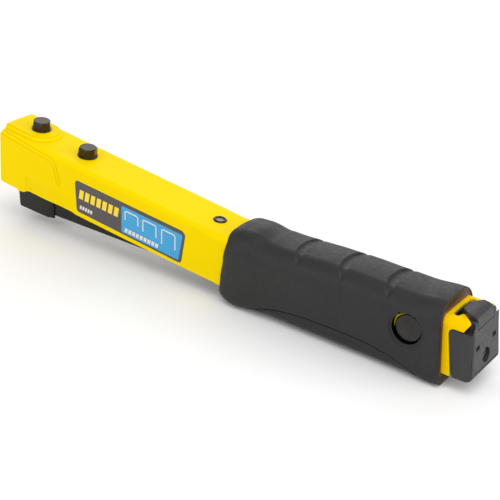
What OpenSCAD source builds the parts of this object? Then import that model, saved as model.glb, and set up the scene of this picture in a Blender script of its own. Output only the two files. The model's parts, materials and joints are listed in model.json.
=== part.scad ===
// Hammer tacker: a channel-shaped body with a weighted head, and a sprung magazine that
// swings up into the head when its nose strikes the work.
// The tool lies along X with its head towards -X. Inside the modules x counts from the front
// of the head and z from the underside of the handle's channel, and seat() moves them to the origin.

/* [Overall] */
// Length from the front of the head to the rear of the end cap
total_l = 329; // [328:0.5:330]
// How far the grip hangs below the handle's zero line
grip_drop = 9; // [8.5:0.5:10]

/* [Body frame] */
// Outside width of the channel
body_w = 31; // [30.8:0.1:31.2]
// Thickness of the sheet
sheet = 1.5; // [1.4:0.1:1.6]
// Outside radius of the channel's shoulders
shoulder_r = 4; // [3.5:0.1:4.5]
// Height of the head's top line at the front
head_top_z = 50.7; // [50:0.1:51.5]
// Slope of the head's top line, degrees
head_slope = 6.7; // [6.5:0.1:6.9]
// Height of the head's bottom edge, carried on to the front
head_bottom_z = 17.5; // [17.3:0.1:17.7]
// Slope of the head's bottom edge, degrees
belly_slope = 5.9; // [5.8:0.1:6]
// Slope of the bottom edge between the label and the grip, degrees
neck_slope = 5.2; // [5:0.1:5.4]
// Height of the handle's top
handle_top_z = 31.1; // [31:0.1:31.5]
// Height of the handle's bottom edge
handle_bottom_z = -0.9; // [-1.2:0.1:-0.7]
// How far the front face leans back, degrees
front_lean = 3.8; // [3:0.1:4.5]
// Rear end of the channel, at its bottom edge
frame_rear_x = 316.5; // [316:0.1:317]
// How far the rear edge leans forward, degrees
rear_lean = 8.6; // [8:0.1:9]

/* [Head bolts] */
// Distances of the two bolts from the front
bolt_x = [20.8, 59.3];
// Bolt thread diameter
bolt_d = 6; // [5.8:0.1:6.2]
// Hexagon across its flats
hex_af = 10.2; // [9.8:0.1:10.4]
// Radius of the washer face
washer_face_r = 6.1; // [6:0.1:6.4]
// Height of the raised pad round the front bolt
pad_h = 3; // [2.5:0.1:3.2]

/* [Swinging magazine] */
// Largest swing, degrees
swing_deg = 3; // [2.8:0.1:3]
// Pivot distance from the front
pivot_x = 291.6; // [291:0.1:292]
// Pivot height
pivot_z = 17.6; // [17.4:0.1:17.8]
// Outside width of the magazine
mag_w = 14.4; // [14.2:0.1:14.6]
// Wall of the magazine
mag_wall = 1.4; // [1.3:0.1:1.5]
// Underside of the magazine
mag_bottom_z = -0.5; // [-0.6:0.1:-0.4]
// Top of the magazine
mag_top_z = 17; // [16.8:0.1:17.2]
// Outside width of the nose
nose_w = 18; // [17.8:0.1:18.4]
// Lowest point of the nose's underside, at its rear
nose_bottom_z = -2.7; // [-2.8:0.1:-2.5]
// Slope of the nose's underside, degrees
nose_slope = 2.8; // [2.5:0.1:3]

/* [Staple rail] */
// Width of the rail, for a staple crown of 10.6
rail_w = 7.8; // [7.6:0.1:7.9]
// Top of the rail
rail_top_z = 10.3; // [10:0.1:10.5]
// Guide rod diameter
rod_d = 2.4; // [2.2:0.1:2.6]
// Height of the guide rod
rod_z = 5.8; // [5.6:0.1:6]

/* [Grip] */
// Front end of the grip
grip_front_x = 171; // [170.5:0.5:171.5]
// Rear end of the grip at its bottom
grip_rear_x = 312; // [311.5:0.5:312]
// Radius of the round hole in each side
grip_hole_r = 8.6; // [8.4:0.1:8.8]

/* [Hidden] */
$fn = 64;

half_w = body_w / 2;
// Points where the sloped head meets the level handle
top_bend_x = (head_top_z - handle_top_z) / tan(head_slope);
// Where the bottom edge's slope eases
neck_x = 103;
bottom_bend_x = neck_x + (head_bottom(neck_x) - handle_bottom_z) / tan(neck_slope);
// Vertical thickness of the sheet under the sloped top
sloped_sheet = sheet / cos(head_slope);
frame_h = handle_top_z - handle_bottom_z;
rear_top_x = frame_rear_x - frame_h * tan(rear_lean);

// Heights of each bolt's seat and of its lower end, square to the head's top
bolt_seat = [pad_h, 0];
bolt_end = [-12.5, -10.5];

// Bulges pressed into the sides of the head
bulge_h = 1.3;
// Front end of the magazine, just behind the slot that the blade and a staple pass through
mag_front_x = 12.4;
mag_rear_x = 311;
mag_in_w = mag_w - 2 * mag_wall;
slot_front_x = 9.7;
slot_w = 11;
nose_front_x = 7.2;
nose_rear_x = 32;
nose_top_z = mag_top_z;
// Driver blade
blade_x = [10.3, 11.5];
blade_w = 10.4;
blade_tip_z = 13.8;
blade_top_z = 44.5;
block_x = [blade_x[1], 68];
block_bottom_z = 33;
block_w = 22.8;
blade_screw_y = 3;
blade_screw_z = 38;
// Rivet in front of the grip, and the return spring below it
rivet_x = 160;
spring_top_z = 29.2;
cup_h = 1;
return_spring_r = 5;
return_wire = 1;
// Pivot
pin_r = 3;
running_gap = 0.05;
bush_r = 4.5;
pivot_head_r = 7.8;
pivot_head_h = 1.2;
ear_r = 9;
ear_half_l = 10.5;
side_gap = 0.3;
// Stop pin
stop_x = 250;
stop_z = 22;
stop_r = 2;
stop_travel = (pivot_x - stop_x) * sin(swing_deg);
// Rail and pusher
rail_front_x = 12.7;
rail_rear_x = 299;
rail_bottom_z = 0.8;
rail_wall = 1;
block_rear_x = 319;
rail_block_w = 10.4;
rail_block_top_z = 12.5;
pusher_x = [14, 30];
pusher_w = 10.6;
pusher_top_z = 12.6;
pusher_spring_r = 2.4;
// End cap
cap_lean = 7.9;
cap_bottom_z = -1.2;
cap_top_z = 31;
cap_corner_r = 1.6;
// Round edge at the bottom of the cap's rear face, and its centre
cap_low_r = 4.5;
cap_low_x = total_l - cap_low_r;
cap_low_z = cap_bottom_z + cap_low_r;
cap_gap_top = 0.4;
cap_gap_bottom = 1.4;
cap_side_z = 25.4;
screw_z = 8.9;
recess_r = 4;
screw_seat_x = 324.4;
screw_head_l = 2.2;
// Latch
latch_w = 18;
latch_seam_z = 26.2;
latch_pin_x = 321.6;
latch_pin_z = 28.6;
latch_pin_r = 1.2;
latch_pin_l = 22;
latch_spring_x = 316;
latch_spring_z = [20.5, 27];
latch_spring_r = 2.2;

function head_top(x) = head_top_z - x * tan(head_slope);
function head_bottom(x) = head_bottom_z - min(x, neck_x) * tan(belly_slope)
    - max(x - neck_x, 0) * tan(neck_slope);
function front_x(z) = (z - head_bottom_z) * tan(front_lean);
// Distance of the cap's leaning rear face, less a set-in, at height z
function cap_rear(z, in = 0) = cap_low_x + (cap_low_r - in) / cos(cap_lean) - (z - cap_low_z) * tan(cap_lean);

// Puts the tool's own x and z on the origin
module seat() {
    translate([-total_l / 2, 0, grip_drop]) children();
}

// A side profile, drawn in x and z, with a width across the tool
module across(w) {
    rotate([90, 0, 0]) linear_extrude(w, center = true) children();
}

// A rod or hole across the tool
module cross_rod(x, z, r, y1, y2) {
    translate([x, y1, z]) rotate([-90, 0, 0]) cylinder(r = r, h = y2 - y1);
}

// A rod or hole along the tool
module long_rod(x1, x2, z, r) {
    translate([x1, 0, z]) rotate([0, 90, 0]) cylinder(r = r, h = x2 - x1);
}

// A box from one corner to the other, centred on y
module slab(x1, x2, w, z1, z2) {
    translate([x1, -w / 2, z1]) cube([x2 - x1, w, z2 - z1]);
}

// Places something on the head's sloped top at distance x, with +Z square to the top
module on_head(x) {
    translate([x, 0, head_top(x)]) rotate([0, head_slope, 0]) children();
}

// A flat with round corners, from the origin in x and y
module round_rect(l, w, r) {
    translate([r, 0]) square([l - 2 * r, w]);
    translate([0, r]) square([l, w - 2 * r]);
    for (x = [r, l - r], y = [r, w - r]) translate([x, y]) circle(r);
}

// Section of the channel's outside: upright sides and round shoulders, with its top at z = 0
module channel_section(w, depth, r) {
    translate([-w / 2, -depth]) square([w, depth - r]);
    translate([-w / 2 + r, -depth]) square([w - 2 * r, depth]);
    for (s = [-1, 1]) translate([s * (w / 2 - r), -r]) circle(r);
}

// Side profile of the channel, set in by the sheet's thickness for the inside
module frame_profile(in) {
    open = in > 0 ? 10 : 0;
    polygon([[in, head_bottom_z - open],
        [front_x(head_top_z) + in, head_top_z - in],
        [top_bend_x, handle_top_z - in],
        [rear_top_x + open, handle_top_z - in],
        [frame_rear_x + open, handle_bottom_z - open],
        [bottom_bend_x, handle_bottom_z - open],
        [neck_x, head_bottom(neck_x) - open]]);
}

// The channel's outer envelope, or its hollow when set in by the sheet's thickness
module channel_solid(in) {
    depth = 60;
    w = body_w - 2 * in;
    intersection() {
        across(body_w + 10) frame_profile(in);
        union() {
            on_head(-10) translate([0, 0, -in]) rotate([90, 0, 90])
                linear_extrude(200) channel_section(w, depth, shoulder_r - in);
            translate([0, 0, handle_top_z - in]) rotate([90, 0, 90])
                linear_extrude(total_l + 20) channel_section(w, depth, shoulder_r - in);
        }
    }
}

// Outline of the bulge in the head's side, its top just below the shoulder
module bulge_profile(in) {
    below_top = shoulder_r + 0.7;
    open = in > 0 ? 8 : 0;
    polygon([[in, head_bottom_z + in - open],
        [in, head_top(0) - below_top - in],
        [44.7 - in, head_top(44.7) - below_top - in],
        [49.5 - in, 32.5],
        [51.5 - in, 27],
        [46 - in, 20.5 + in],
        [24 - in, head_bottom(24) + 1 + in],
        [24 - in, head_bottom(24) - open]]);
}

// The lug hangs below the bottom edge at the front of the head
module lug_profile() {
    polygon([[0, 20], [0.8, 16], [13.5, 14.9], [16, 13.8], [19.6, 14], [23.3, head_bottom(23.3)], [23.7, 20]]);
}

// Raised pad round the front bolt, with sloping flanks
module head_pad() {
    base_r = 15;
    top_r = 11.6;
    sink = 2.4;
    on_head(bolt_x[0]) {
        translate([0, 0, -sink]) cylinder(r1 = base_r, r2 = top_r, h = pad_h + sink);
        translate([-bolt_x[0] + front_x(head_top_z) + pad_h, 0, -sink]) rotate([90, 0, 90])
            linear_extrude(bolt_x[0] - front_x(head_top_z) - pad_h)
                polygon([[-base_r, 0], [-top_r, pad_h + sink], [top_r, pad_h + sink], [base_r, 0]]);
    }
}

// One rear hook, seen from above: a neck with a notch, a bump and a slanted tip
module hook_plan() {
    polygon([[300, 8.6], [rear_top_x, 8.6], [313.6, 10.2], [314.9, 9.9], [315.8, 7.4], [317, 7.2],
        [322.2, 12.1], [323.2, 16], [300, 16]]);
}

module hook_profile() {
    polygon([[300, 26], [314.6, 26], [321.2, 26.6], [323.4, 29.8], [323, 32], [300, 32]]);
}

module body_frame() {
    color("gold") seat() {
        difference() {
            union() {
                channel_solid(0);
                across(body_w + 2 * bulge_h) bulge_profile(0);
                across(body_w + 2 * bulge_h) lug_profile();
                head_pad();
            }
            channel_solid(sheet);
            across(body_w + 2 * (bulge_h - sheet)) bulge_profile(sheet);
            across(body_w - 2 * sheet) polygon([[sheet, head_bottom_z + 3], [sheet, 0], [40, 0],
                [40, head_bottom_z + 3]]);
            for (x = bolt_x) on_head(x) translate([0, 0, -5]) cylinder(r = bolt_d / 2, h = 10);
            on_head(rivet_x) translate([0, 0, -3]) cylinder(r = 2, h = 6);
            cross_rod(pivot_x, pivot_z, pin_r, -20, 20);
            cross_rod(stop_x, stop_z, stop_r, -20, 20);
        }
        // The hooks carry the channel's own shoulder rearwards
        for (s = [-1, 1]) intersection() {
            difference() {
                translate([0, 0, handle_top_z]) rotate([90, 0, 90])
                    linear_extrude(total_l) channel_section(body_w, 20, shoulder_r);
                translate([0, 0, handle_top_z - sheet]) rotate([90, 0, 90])
                    linear_extrude(total_l) channel_section(body_w - 2 * sheet, 30, shoulder_r - sheet);
            }
            across(body_w) hook_profile();
            mirror([0, s < 0 ? 1 : 0, 0]) linear_extrude(40) hook_plan();
            slab(rear_top_x - 1, 330, body_w + 2, 20, 40);
        }
    }
}

module driver_block() {
    color("dimgray") seat() difference() {
        across(block_w) polygon([[block_x[0], head_top(block_x[0]) - sloped_sheet],
            [block_x[1], head_top(block_x[1]) - sloped_sheet],
            [block_x[1], block_bottom_z], [block_x[0], block_bottom_z]]);
        for (i = [0, 1]) on_head(bolt_x[i]) translate([0, 0, bolt_end[i]])
            cylinder(r = bolt_d / 2, h = 16);
        for (y = [-blade_screw_y, blade_screw_y]) translate([block_x[0] - 1, y, blade_screw_z])
            rotate([0, 90, 0]) cylinder(r = 1.25, h = 5);
    }
}

module driver_blade() {
    color("silver") seat() difference() {
        slab(blade_x[0], blade_x[1], blade_w, blade_tip_z, blade_top_z);
        for (y = [-blade_screw_y, blade_screw_y]) translate([blade_x[0] - 1, y, blade_screw_z])
            rotate([0, 90, 0]) cylinder(r = 1.25, h = 4);
    }
}

// Pan-head screws that clamp the blade on the block
module blade_screws() {
    color("gray") seat() for (y = [-blade_screw_y, blade_screw_y])
        translate([blade_x[0], y, blade_screw_z]) rotate([0, 90, 0]) {
            cylinder(r = 1.25, h = 4.5);
            translate([0, 0, -1.6]) difference() {
                cylinder(r = 2.5, h = 1.6);
                translate([-2, -0.35, -0.5]) cube([4, 0.7, 1.2]);
            }
        }
}

module hex_bolts() {
    head_h = 6;
    face_h = 1;
    turned = [10.6, -5.8];
    color("black") seat() for (i = [0, 1]) on_head(bolt_x[i]) rotate([0, 0, turned[i]]) {
        translate([0, 0, bolt_seat[i]]) {
            cylinder(r = washer_face_r, h = face_h);
            // The hexagon's corners are turned off at the top
            intersection() {
                cylinder(d = hex_af / cos(30), h = head_h, $fn = 6);
                cylinder(r1 = 12, r2 = hex_af / 2 * 0.96, h = head_h);
            }
        }
        translate([0, 0, bolt_end[i]]) cylinder(d = bolt_d, h = bolt_seat[i] - bolt_end[i]);
    }
}

// Tubular rivet: a dished head above, a post below that centres the return spring
module top_rivet() {
    color("black") seat() on_head(rivet_x) {
        difference() {
            cylinder(r1 = 4, r2 = 3.4, h = 0.8);
            translate([0, 0, 0.25]) cylinder(r = 2.3, h = 1);
        }
        translate([0, 0, -sheet]) cylinder(r = 2, h = sheet);
        translate([0, 0, -sheet - 2.4]) cylinder(r = 2.8, h = 2.4);
    }
}

module side_label() {
    label_l = 81;
    label_h = 20.3;
    label_r = 3;
    label_t = 0.25;
    color("darkslategray") seat() translate([64, -half_w, 33.6]) rotate([90, 6.3, 0])
        linear_extrude(label_t) translate([0, -label_h]) round_rect(label_l, label_h, label_r);
}

// One cross-section of the grip at x: round top corners, smaller bottom ones
module grip_slice(x, w, z1, z2, r_top) {
    r_low = 6;
    t = 0.01;
    translate([x, 0, 0]) rotate([90, 0, 90]) linear_extrude(t) {
        for (s = [-1, 1]) {
            translate([s * (w / 2 - r_top), z2 - r_top]) circle(r_top, $fn = 40);
            translate([s * (w / 2 - r_low), z1 + r_low]) circle(r_low, $fn = 32);
        }
    }
}

module rubber_grip() {
    lip = 1.6;
    hole_offset = 0.8;
    slices = [[grip_front_x, 35, -3.5, 33.5, 9], [grip_front_x + 8, 38.6, -8, 38, 12],
        [grip_front_x + 20, 38.6, -8.5, 38.4, 12], [grip_front_x + 42, 38, -7, 36, 12],
        [grip_front_x + 88, 38, -7.5, 36, 12], [grip_rear_x - 4, 38.6, -9, 38.4, 12]];
    color("#3c3c3c") seat() difference() {
        union() {
            for (i = [0:len(slices) - 2]) hull() for (s = [slices[i], slices[i + 1]])
                grip_slice(s[0], s[1], s[2], s[3], s[4]);
            hull() {
                grip_slice(grip_rear_x - 4, 38.6, -9, 38.4, 12);
                grip_slice(grip_rear_x - 0.1, 36.5, -8, 37, 11);
            }
        }
        channel_solid(0);
        // The end follows the lean of the handle
        translate([grip_rear_x, 0, handle_bottom_z]) rotate([0, -4.7, 0]) slab(0, 20, 60, -20, 60);
        // Room below the open channel for the magazine and the cap's plug
        slab(grip_front_x - 1, grip_rear_x + 1, body_w - 2 * sheet, handle_bottom_z - lip, 5);
        for (s = [-1, 1]) {
            cross_rod(pivot_x, pivot_z + hole_offset, grip_hole_r, s > 0 ? 15 : -25, s > 0 ? 25 : -15);
            cross_rod(pivot_x, pivot_z + hole_offset, grip_hole_r + 1.6, s > 0 ? 18.5 : -25, s > 0 ? 25 : -18.5);
        }
    }
}

module pivot_pin() {
    color("black") seat() {
        cross_rod(pivot_x, pivot_z, pin_r, -half_w, half_w);
        cross_rod(pivot_x, pivot_z, pivot_head_r, -half_w - pivot_head_h, -half_w);
    }
}

module pivot_cap() {
    color("black") seat() difference() {
        cross_rod(pivot_x, pivot_z, pivot_head_r, half_w, half_w + pivot_head_h);
        cross_rod(pivot_x, pivot_z, 1.2, half_w + 0.4, half_w + 5);
    }
}

module stop_pin() {
    color("silver") seat() cross_rod(stop_x, stop_z, stop_r, -half_w, half_w);
}

// Envelope of the compression spring
module return_spring() {
    z1 = mag_top_z + cup_h;
    color("silver") seat() translate([rivet_x, 0, z1]) difference() {
        cylinder(r = return_spring_r, h = spring_top_z - z1);
        translate([0, 0, -1]) cylinder(r = return_spring_r - return_wire, h = 20);
    }
}

module magazine_housing() {
    color("#2b2b2b") seat() difference() {
        union() {
            slab(mag_front_x, mag_rear_x, mag_w, mag_bottom_z, mag_top_z);
            // Ears that carry the pivot bush
            across(mag_w) {
                translate([pivot_x, pivot_z]) circle(ear_r);
                translate([pivot_x - ear_half_l, mag_top_z - 4]) square([2 * ear_half_l, 6]);
            }
            // Ears with the slot for the stop pin
            across(mag_w) translate([stop_x - 7, mag_top_z - 2]) round_rect(14, 10.6, 1.6);
        }
        slab(mag_front_x - 1, mag_rear_x + 1, mag_in_w, -5, mag_top_z - mag_wall);
        slab(pivot_x - 15, pivot_x + 15, mag_in_w, mag_top_z, 40);
        slab(stop_x - 15, stop_x + 15, mag_in_w, mag_top_z, 40);
        cross_rod(pivot_x, pivot_z, bush_r, -20, 20);
        across(mag_w + 2) {
            translate([stop_x, stop_z]) circle(stop_r + 0.2);
            translate([stop_x, stop_z - stop_travel]) circle(stop_r + 0.2);
            translate([stop_x - stop_r - 0.2, stop_z - stop_travel]) square([2 * stop_r + 0.4, stop_travel]);
        }
    }
}

module nose_shoe() {
    chamfer = 1.6;
    lean = 1.3;
    tail = 5;
    tail_half_w = 7.8;
    front_bottom_z = nose_bottom_z + (nose_rear_x - nose_front_x) * tan(nose_slope);
    color("#303030") seat() difference() {
        intersection() {
            // From above: a block with a tapered tail
            translate([0, 0, -5]) linear_extrude(40) polygon([
                [nose_front_x - lean, chamfer - nose_w / 2], [nose_front_x + chamfer, -nose_w / 2],
                [nose_rear_x, -nose_w / 2], [nose_rear_x + tail, -tail_half_w],
                [nose_rear_x + tail, tail_half_w], [nose_rear_x, nose_w / 2],
                [nose_front_x + chamfer, nose_w / 2], [nose_front_x - lean, nose_w / 2 - chamfer]]);
            across(nose_w + 1) polygon([[nose_front_x - lean - 1, nose_top_z], [nose_front_x - lean, 9],
                [nose_front_x, front_bottom_z + 1], [nose_front_x + 0.8, front_bottom_z],
                [nose_rear_x, nose_bottom_z], [nose_rear_x + tail + 1, nose_bottom_z + 0.4],
                [nose_rear_x + tail + 1, nose_top_z]]);
        }
        slab(mag_front_x, nose_rear_x + tail + 1, mag_w, -5, 30);
        slab(slot_front_x, mag_front_x + 1, slot_w, -5, 30);
    }
}

module pivot_bush() {
    l = half_w - sheet - side_gap;
    color("peru") seat() difference() {
        cross_rod(pivot_x, pivot_z, bush_r, -l, l);
        cross_rod(pivot_x, pivot_z, pin_r + running_gap, -20, 20);
    }
}

module spring_cup() {
    color("silver") seat() translate([rivet_x, 0, mag_top_z]) {
        cylinder(r = 6.4, h = cup_h);
        cylinder(r = return_spring_r - return_wire - 0.4, h = cup_h + 1.2);
    }
}

module staple_rail() {
    inner = rail_w - 2 * rail_wall;
    color("silver") seat() difference() {
        slab(rail_front_x, rail_rear_x, rail_w, rail_bottom_z, rail_top_z);
        slab(rail_front_x + rail_wall, rail_rear_x + 1, inner, rail_bottom_z + rail_wall, 20);
        long_rod(rail_front_x - 1, rail_front_x + 3, rod_z, rod_d / 2);
    }
}

module rail_block() {
    color("gray") seat() difference() {
        slab(rail_rear_x, block_rear_x, rail_block_w, rail_bottom_z, rail_block_top_z);
        long_rod(rail_rear_x - 1, rail_rear_x + 5, rod_z, rod_d / 2);
        long_rod(block_rear_x - 9, block_rear_x + 1, screw_z, 2);
    }
}

module guide_rod() {
    color("silver") seat() long_rod(rail_front_x, rail_rear_x + 5, rod_z, rod_d / 2);
}

// Side profile of the cap: it fits the frame's rear edge and has round edges at the rear
module cap_profile() {
    r_up = 1.5;
    z_up = cap_top_z - r_up;
    front = frame_rear_x + cap_gap_bottom;
    front_top = frame_rear_x - (cap_side_z - handle_bottom_z) * tan(rear_lean) + cap_gap_top;
    polygon([[front, cap_bottom_z], [front_top, cap_side_z], [front_top - 0.6, cap_top_z],
        [cap_rear(z_up, r_up), cap_top_z], [cap_rear(z_up), z_up], [cap_rear(cap_low_z), cap_low_z],
        [cap_low_x, cap_bottom_z]]);
    translate([cap_low_x, cap_low_z]) circle(cap_low_r);
    translate([cap_rear(z_up, r_up), z_up]) circle(r_up);
}

// Block with round upright corners at the rear, leaning with the cap's rear face
module cap_corners() {
    translate([cap_rear(0), 0, 0]) rotate([0, -cap_lean, 0]) linear_extrude(80, center = true) {
        translate([-40, -half_w]) square([40 - cap_corner_r, body_w]);
        translate([-40, -half_w + cap_corner_r]) square([40 + 1, body_w - 2 * cap_corner_r]);
        for (s = [-1, 1]) translate([-cap_corner_r, s * (half_w - cap_corner_r)]) circle(cap_corner_r);
    }
}

module end_cap() {
    plug_front_x = 312.7;
    column_w = 14.8;
    hook_y = 6.9;
    hook_tip_y = 11.9;
    color("#46464a") seat() difference() {
        union() {
            intersection() {
                across(body_w) cap_profile();
                cap_corners();
            }
            // Plug that enters the channel
            slab(plug_front_x, plug_front_x + 8, body_w - 2 * sheet - 2 * side_gap,
                handle_bottom_z + 1, cap_side_z);
        }
        // Notches that the frame's hooks run in, ending in a round hollow in the rear corner
        for (s = [-1, 1]) mirror([0, s > 0 ? 0 : 1, 0]) {
            translate([0, 0, cap_side_z]) linear_extrude(20) polygon([[300, hook_y], [317.3, hook_y],
                [322.2, hook_tip_y - 0.2], [322.2, 20], [300, 20]]);
            translate([310, hook_tip_y, cap_side_z]) cube([15.6, 10, 20]);
            translate([323, hook_tip_y + 2, cap_side_z]) cylinder(r = 2.6, h = 20);
        }
        // Well for the latch, and the bore below it for the latch's spring
        slab(300, 340, latch_w + 2 * side_gap, latch_seam_z, 40);
        slab(300, 320, column_w, latch_spring_z[0] + 2, 40);
        translate([latch_spring_x, 0, latch_spring_z[0]]) cylinder(r = latch_spring_r + 0.3, h = 10);
        // Hollow at each side of the middle column
        for (s = [-1, 1]) mirror([0, s > 0 ? 0 : 1, 0]) translate([plug_front_x - 1, column_w / 2, 2])
            cube([13, half_w - 2 * sheet - side_gap - column_w / 2, 19]);
        // Pocket for the rail's block
        slab(300, block_rear_x, rail_block_w, -1, rail_block_top_z);
        long_rod(block_rear_x - 1, screw_seat_x + 1, screw_z, 2);
        long_rod(screw_seat_x, 340, screw_z, recess_r);
        // Two small slots in the rear face
        for (s = [-1, 1]) translate([cap_rear(16.5) - 1.2, s * 9.4, 16.5]) slab(0, 5, 4, -1.2, 1.2);
        cross_rod(latch_pin_x, latch_pin_z, latch_pin_r, -latch_pin_l / 2, latch_pin_l / 2);
    }
}

module cap_screw() {
    color("gray") seat() {
        long_rod(block_rear_x - 8, screw_seat_x, screw_z, 2);
        difference() {
            long_rod(screw_seat_x, screw_seat_x + screw_head_l, screw_z, 3.7);
            slab(screw_seat_x + screw_head_l / 2, screw_seat_x + 3, 0.9, screw_z - 2.4, screw_z + 2.4);
            translate([0, 0, screw_z]) rotate([90, 0, 0]) translate([0, 0, -screw_z])
                slab(screw_seat_x + screw_head_l / 2, screw_seat_x + 3, 0.9, screw_z - 2.4, screw_z + 2.4);
        }
    }
}

module latch_pin() {
    color("silver") seat()
        cross_rod(latch_pin_x, latch_pin_z, latch_pin_r, -latch_pin_l / 2, latch_pin_l / 2);
}

module latch_spring() {
    color("silver") seat() translate([latch_spring_x, 0, latch_spring_z[0]]) difference() {
        cylinder(r = latch_spring_r, h = latch_spring_z[1] - latch_spring_z[0]);
        translate([0, 0, -1]) cylinder(r = latch_spring_r - 0.5, h = 20);
    }
}

module latch_lever() {
    front_x = 313.4;
    tip_w = 8;
    flare_x = [314.2, 319.4];
    low_z = latch_seam_z + side_gap;
    crown_z = 33.7;
    color("#505054") seat() difference() {
        intersection() {
            linear_extrude(60) polygon([[front_x, -tip_w / 2 + 0.4], [flare_x[0], -tip_w / 2],
                [flare_x[1], -latch_w / 2], [340, -latch_w / 2], [340, latch_w / 2],
                [flare_x[1], latch_w / 2], [flare_x[0], tip_w / 2], [front_x, tip_w / 2 - 0.4]]);
            across(latch_w) polygon([[front_x, latch_spring_z[1]], [front_x, crown_z - 1.7],
                [front_x + 1.2, crown_z - 0.7], [319.5, crown_z], [322.5, crown_z - 0.4],
                [cap_rear(crown_z - 1.4) - 0.5, crown_z - 1.4], [cap_rear(crown_z - 3), crown_z - 3],
                [cap_rear(low_z), low_z], [319.5, low_z], [318.5, latch_spring_z[1]]]);
        }
        cross_rod(latch_pin_x, latch_pin_z, latch_pin_r + running_gap, -20, 20);
    }
}

module pusher() {
    leg_in = rail_w + 0.8;
    web = rail_w - 2 * rail_wall - 0.6;
    color("dimgray") seat() difference() {
        slab(pusher_x[0], pusher_x[1], pusher_w, 2, pusher_top_z);
        slab(pusher_x[0] - 1, pusher_x[1] + 1, leg_in, 0, rail_top_z + 0.3);
    }
    color("dimgray") seat() difference() {
        slab(pusher_x[0], pusher_x[1], web, rail_bottom_z + rail_wall + 0.3, rail_top_z + 0.5);
        long_rod(0, 50, rod_z, rod_d / 2 + running_gap);
    }
}

module pusher_spring() {
    color("silver") seat() difference() {
        long_rod(pusher_x[1], rail_rear_x, rod_z, pusher_spring_r);
        long_rod(pusher_x[1] - 1, rail_rear_x + 1, rod_z, pusher_spring_r - 0.8);
    }
}

body_frame();
driver_block();
driver_blade();
blade_screws();
hex_bolts();
top_rivet();
side_label();
rubber_grip();
pivot_pin();
pivot_cap();
stop_pin();
return_spring();
magazine_housing();
nose_shoe();
pivot_bush();
spring_cup();
staple_rail();
rail_block();
guide_rod();
end_cap();
cap_screw();
latch_pin();
latch_spring();
latch_lever();
pusher();
pusher_spring();
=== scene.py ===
# The looks of the hammer tacker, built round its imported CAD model.
import bmesh
import bpy
import json
from math import atan2, ceil, cos, hypot, pi, radians, sin, sqrt, tan
from mathutils import Matrix, Vector


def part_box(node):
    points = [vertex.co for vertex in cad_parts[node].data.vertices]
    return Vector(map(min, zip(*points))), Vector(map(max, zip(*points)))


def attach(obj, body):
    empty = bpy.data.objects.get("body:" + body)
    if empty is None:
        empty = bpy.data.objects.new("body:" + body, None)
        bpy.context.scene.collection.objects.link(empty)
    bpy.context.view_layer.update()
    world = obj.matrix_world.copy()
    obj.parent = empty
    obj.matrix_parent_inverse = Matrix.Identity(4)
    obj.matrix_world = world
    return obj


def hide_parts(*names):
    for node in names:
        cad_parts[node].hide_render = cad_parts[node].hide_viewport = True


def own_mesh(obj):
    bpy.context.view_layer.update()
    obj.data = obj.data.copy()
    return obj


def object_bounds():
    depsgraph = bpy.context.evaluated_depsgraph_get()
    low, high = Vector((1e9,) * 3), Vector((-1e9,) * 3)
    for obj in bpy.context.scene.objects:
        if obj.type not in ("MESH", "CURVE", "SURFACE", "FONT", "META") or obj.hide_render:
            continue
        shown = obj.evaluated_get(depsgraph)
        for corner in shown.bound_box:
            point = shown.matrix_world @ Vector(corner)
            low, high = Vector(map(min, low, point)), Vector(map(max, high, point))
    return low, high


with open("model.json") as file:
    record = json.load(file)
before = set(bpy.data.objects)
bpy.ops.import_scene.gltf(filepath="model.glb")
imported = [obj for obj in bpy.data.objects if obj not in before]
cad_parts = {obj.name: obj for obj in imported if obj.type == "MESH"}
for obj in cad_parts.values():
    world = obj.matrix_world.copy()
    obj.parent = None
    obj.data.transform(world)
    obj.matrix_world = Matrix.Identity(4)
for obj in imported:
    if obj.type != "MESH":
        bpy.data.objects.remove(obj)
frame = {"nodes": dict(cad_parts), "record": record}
cad_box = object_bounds()

# Lengths below are in millimetres, in the tool's own axes: x from the front of the head, y across,
# z up from the handle's zero line, which lies this far above the lowest point of the grip.
MM = 0.001
GRIP_DROP = 9
# Distance given for a point with no crease near it
FAR = 9
ZERO = Vector((cad_box[0][0], 0, cad_box[0][2] + GRIP_DROP * MM))
BODY_OF = {node: body for body, nodes in frame["record"]["behaviour"]["bodies"].items() for node in nodes}


def place(x, y, z):
    return Vector((x, y, z)) * MM + ZERO


def tool_box(node):
    """Lowest and highest corner of a CAD node in the tool's own millimetres."""
    low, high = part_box(node)
    return (low - ZERO) / MM, (high - ZERO) / MM


def clamp(v, low=0.0, high=1.0):
    return max(low, min(high, v))


def ramp(d, half):
    """0 below -half, 1 above half, and a straight line between."""
    return clamp(0.5 + d / (2 * half))


def smooth(a, b, v):
    """0 below a, 1 above b, and a smooth step between."""
    t = clamp((v - a) / (b - a))
    return t * t * (3 - 2 * t)


def mix(a, b, t):
    return a + (b - a) * t


def along(points, v):
    """Interpolates a short list of (position, value) pairs, level at each pair."""
    if v <= points[0][0]:
        return points[0][1]
    for (x0, y0), (x1, y1) in zip(points, points[1:]):
        if v <= x1:
            return mix(y0, y1, (1 - cos(pi * (v - x0) / (x1 - x0))) / 2)
    return points[-1][1]


def steps(start, stop, pitch):
    """Evenly spaced values from start, at most a pitch apart, without the stop itself."""
    n = max(1, ceil(abs(stop - start) / pitch))
    return [start + (stop - start) * i / n for i in range(n)]


# ---------------------------------------------------------------- meshes
def link(name, data):
    """A new object in the scene for a mesh, camera or light."""
    thing = bpy.data.objects.new(name, data)
    bpy.context.scene.collection.objects.link(thing)
    return thing


def mesh_piece(name, points, faces):
    """A mesh from points in the tool's millimetres."""
    mesh = bpy.data.meshes.new(name)
    mesh.from_pydata([place(*p) for p in points], [], faces)
    mesh.update()
    return link(name, mesh)


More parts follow.
